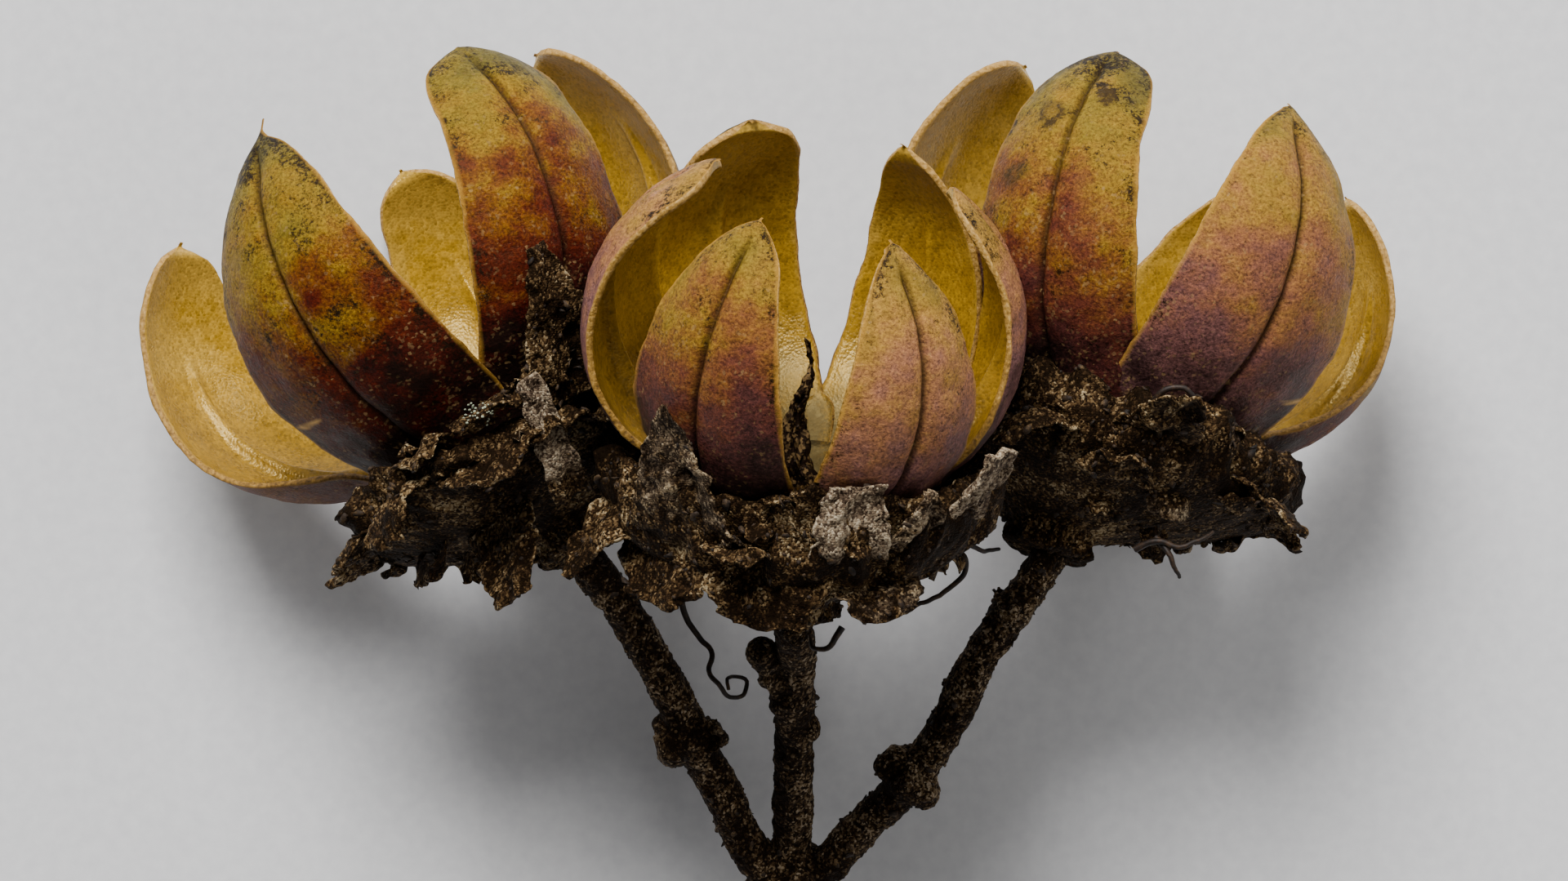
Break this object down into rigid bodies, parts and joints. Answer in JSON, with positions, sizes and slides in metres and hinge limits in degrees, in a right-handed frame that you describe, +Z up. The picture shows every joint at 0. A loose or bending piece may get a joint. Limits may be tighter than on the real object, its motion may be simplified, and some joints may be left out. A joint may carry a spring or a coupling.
{
  "type": "crepe myrtle seed pod sprig",
  "caption": "Dry sprig of split woody seed pods, each a cup of open boat-shaped valves in a shrivelled calyx, on thin stalks that meet in one cut stem, lying on its side.",
  "frame": {"origin": "on the surface it lies on, under the middle of its bounding box", "axes": "+Z up from the surface, +Y from the cut stem towards the open pods, +X from the left pod to the right pod seen from above"},
  "size_m": [0.0422, 0.0364, 0.024],
  "materials": {
    "capsule_wood": "dry woody capsule wall, satin golden inside, ochre to dark red and purple-black outside",
    "calyx_tissue": "dead shrivelled calyx, matt near-black brown with grey flakes",
    "stem_bark": "thin scurfy dark brown bark, matt"
  },
  "bodies": {
    "root": {"stem": "stem_bark", "calyx_left": "calyx_tissue", "calyx_middle": "calyx_tissue", "calyx_right": "calyx_tissue", "capsule_left": "capsule_wood", "capsule_middle": "capsule_wood", "capsule_right": "capsule_wood"}
  },
  "joints": []
}
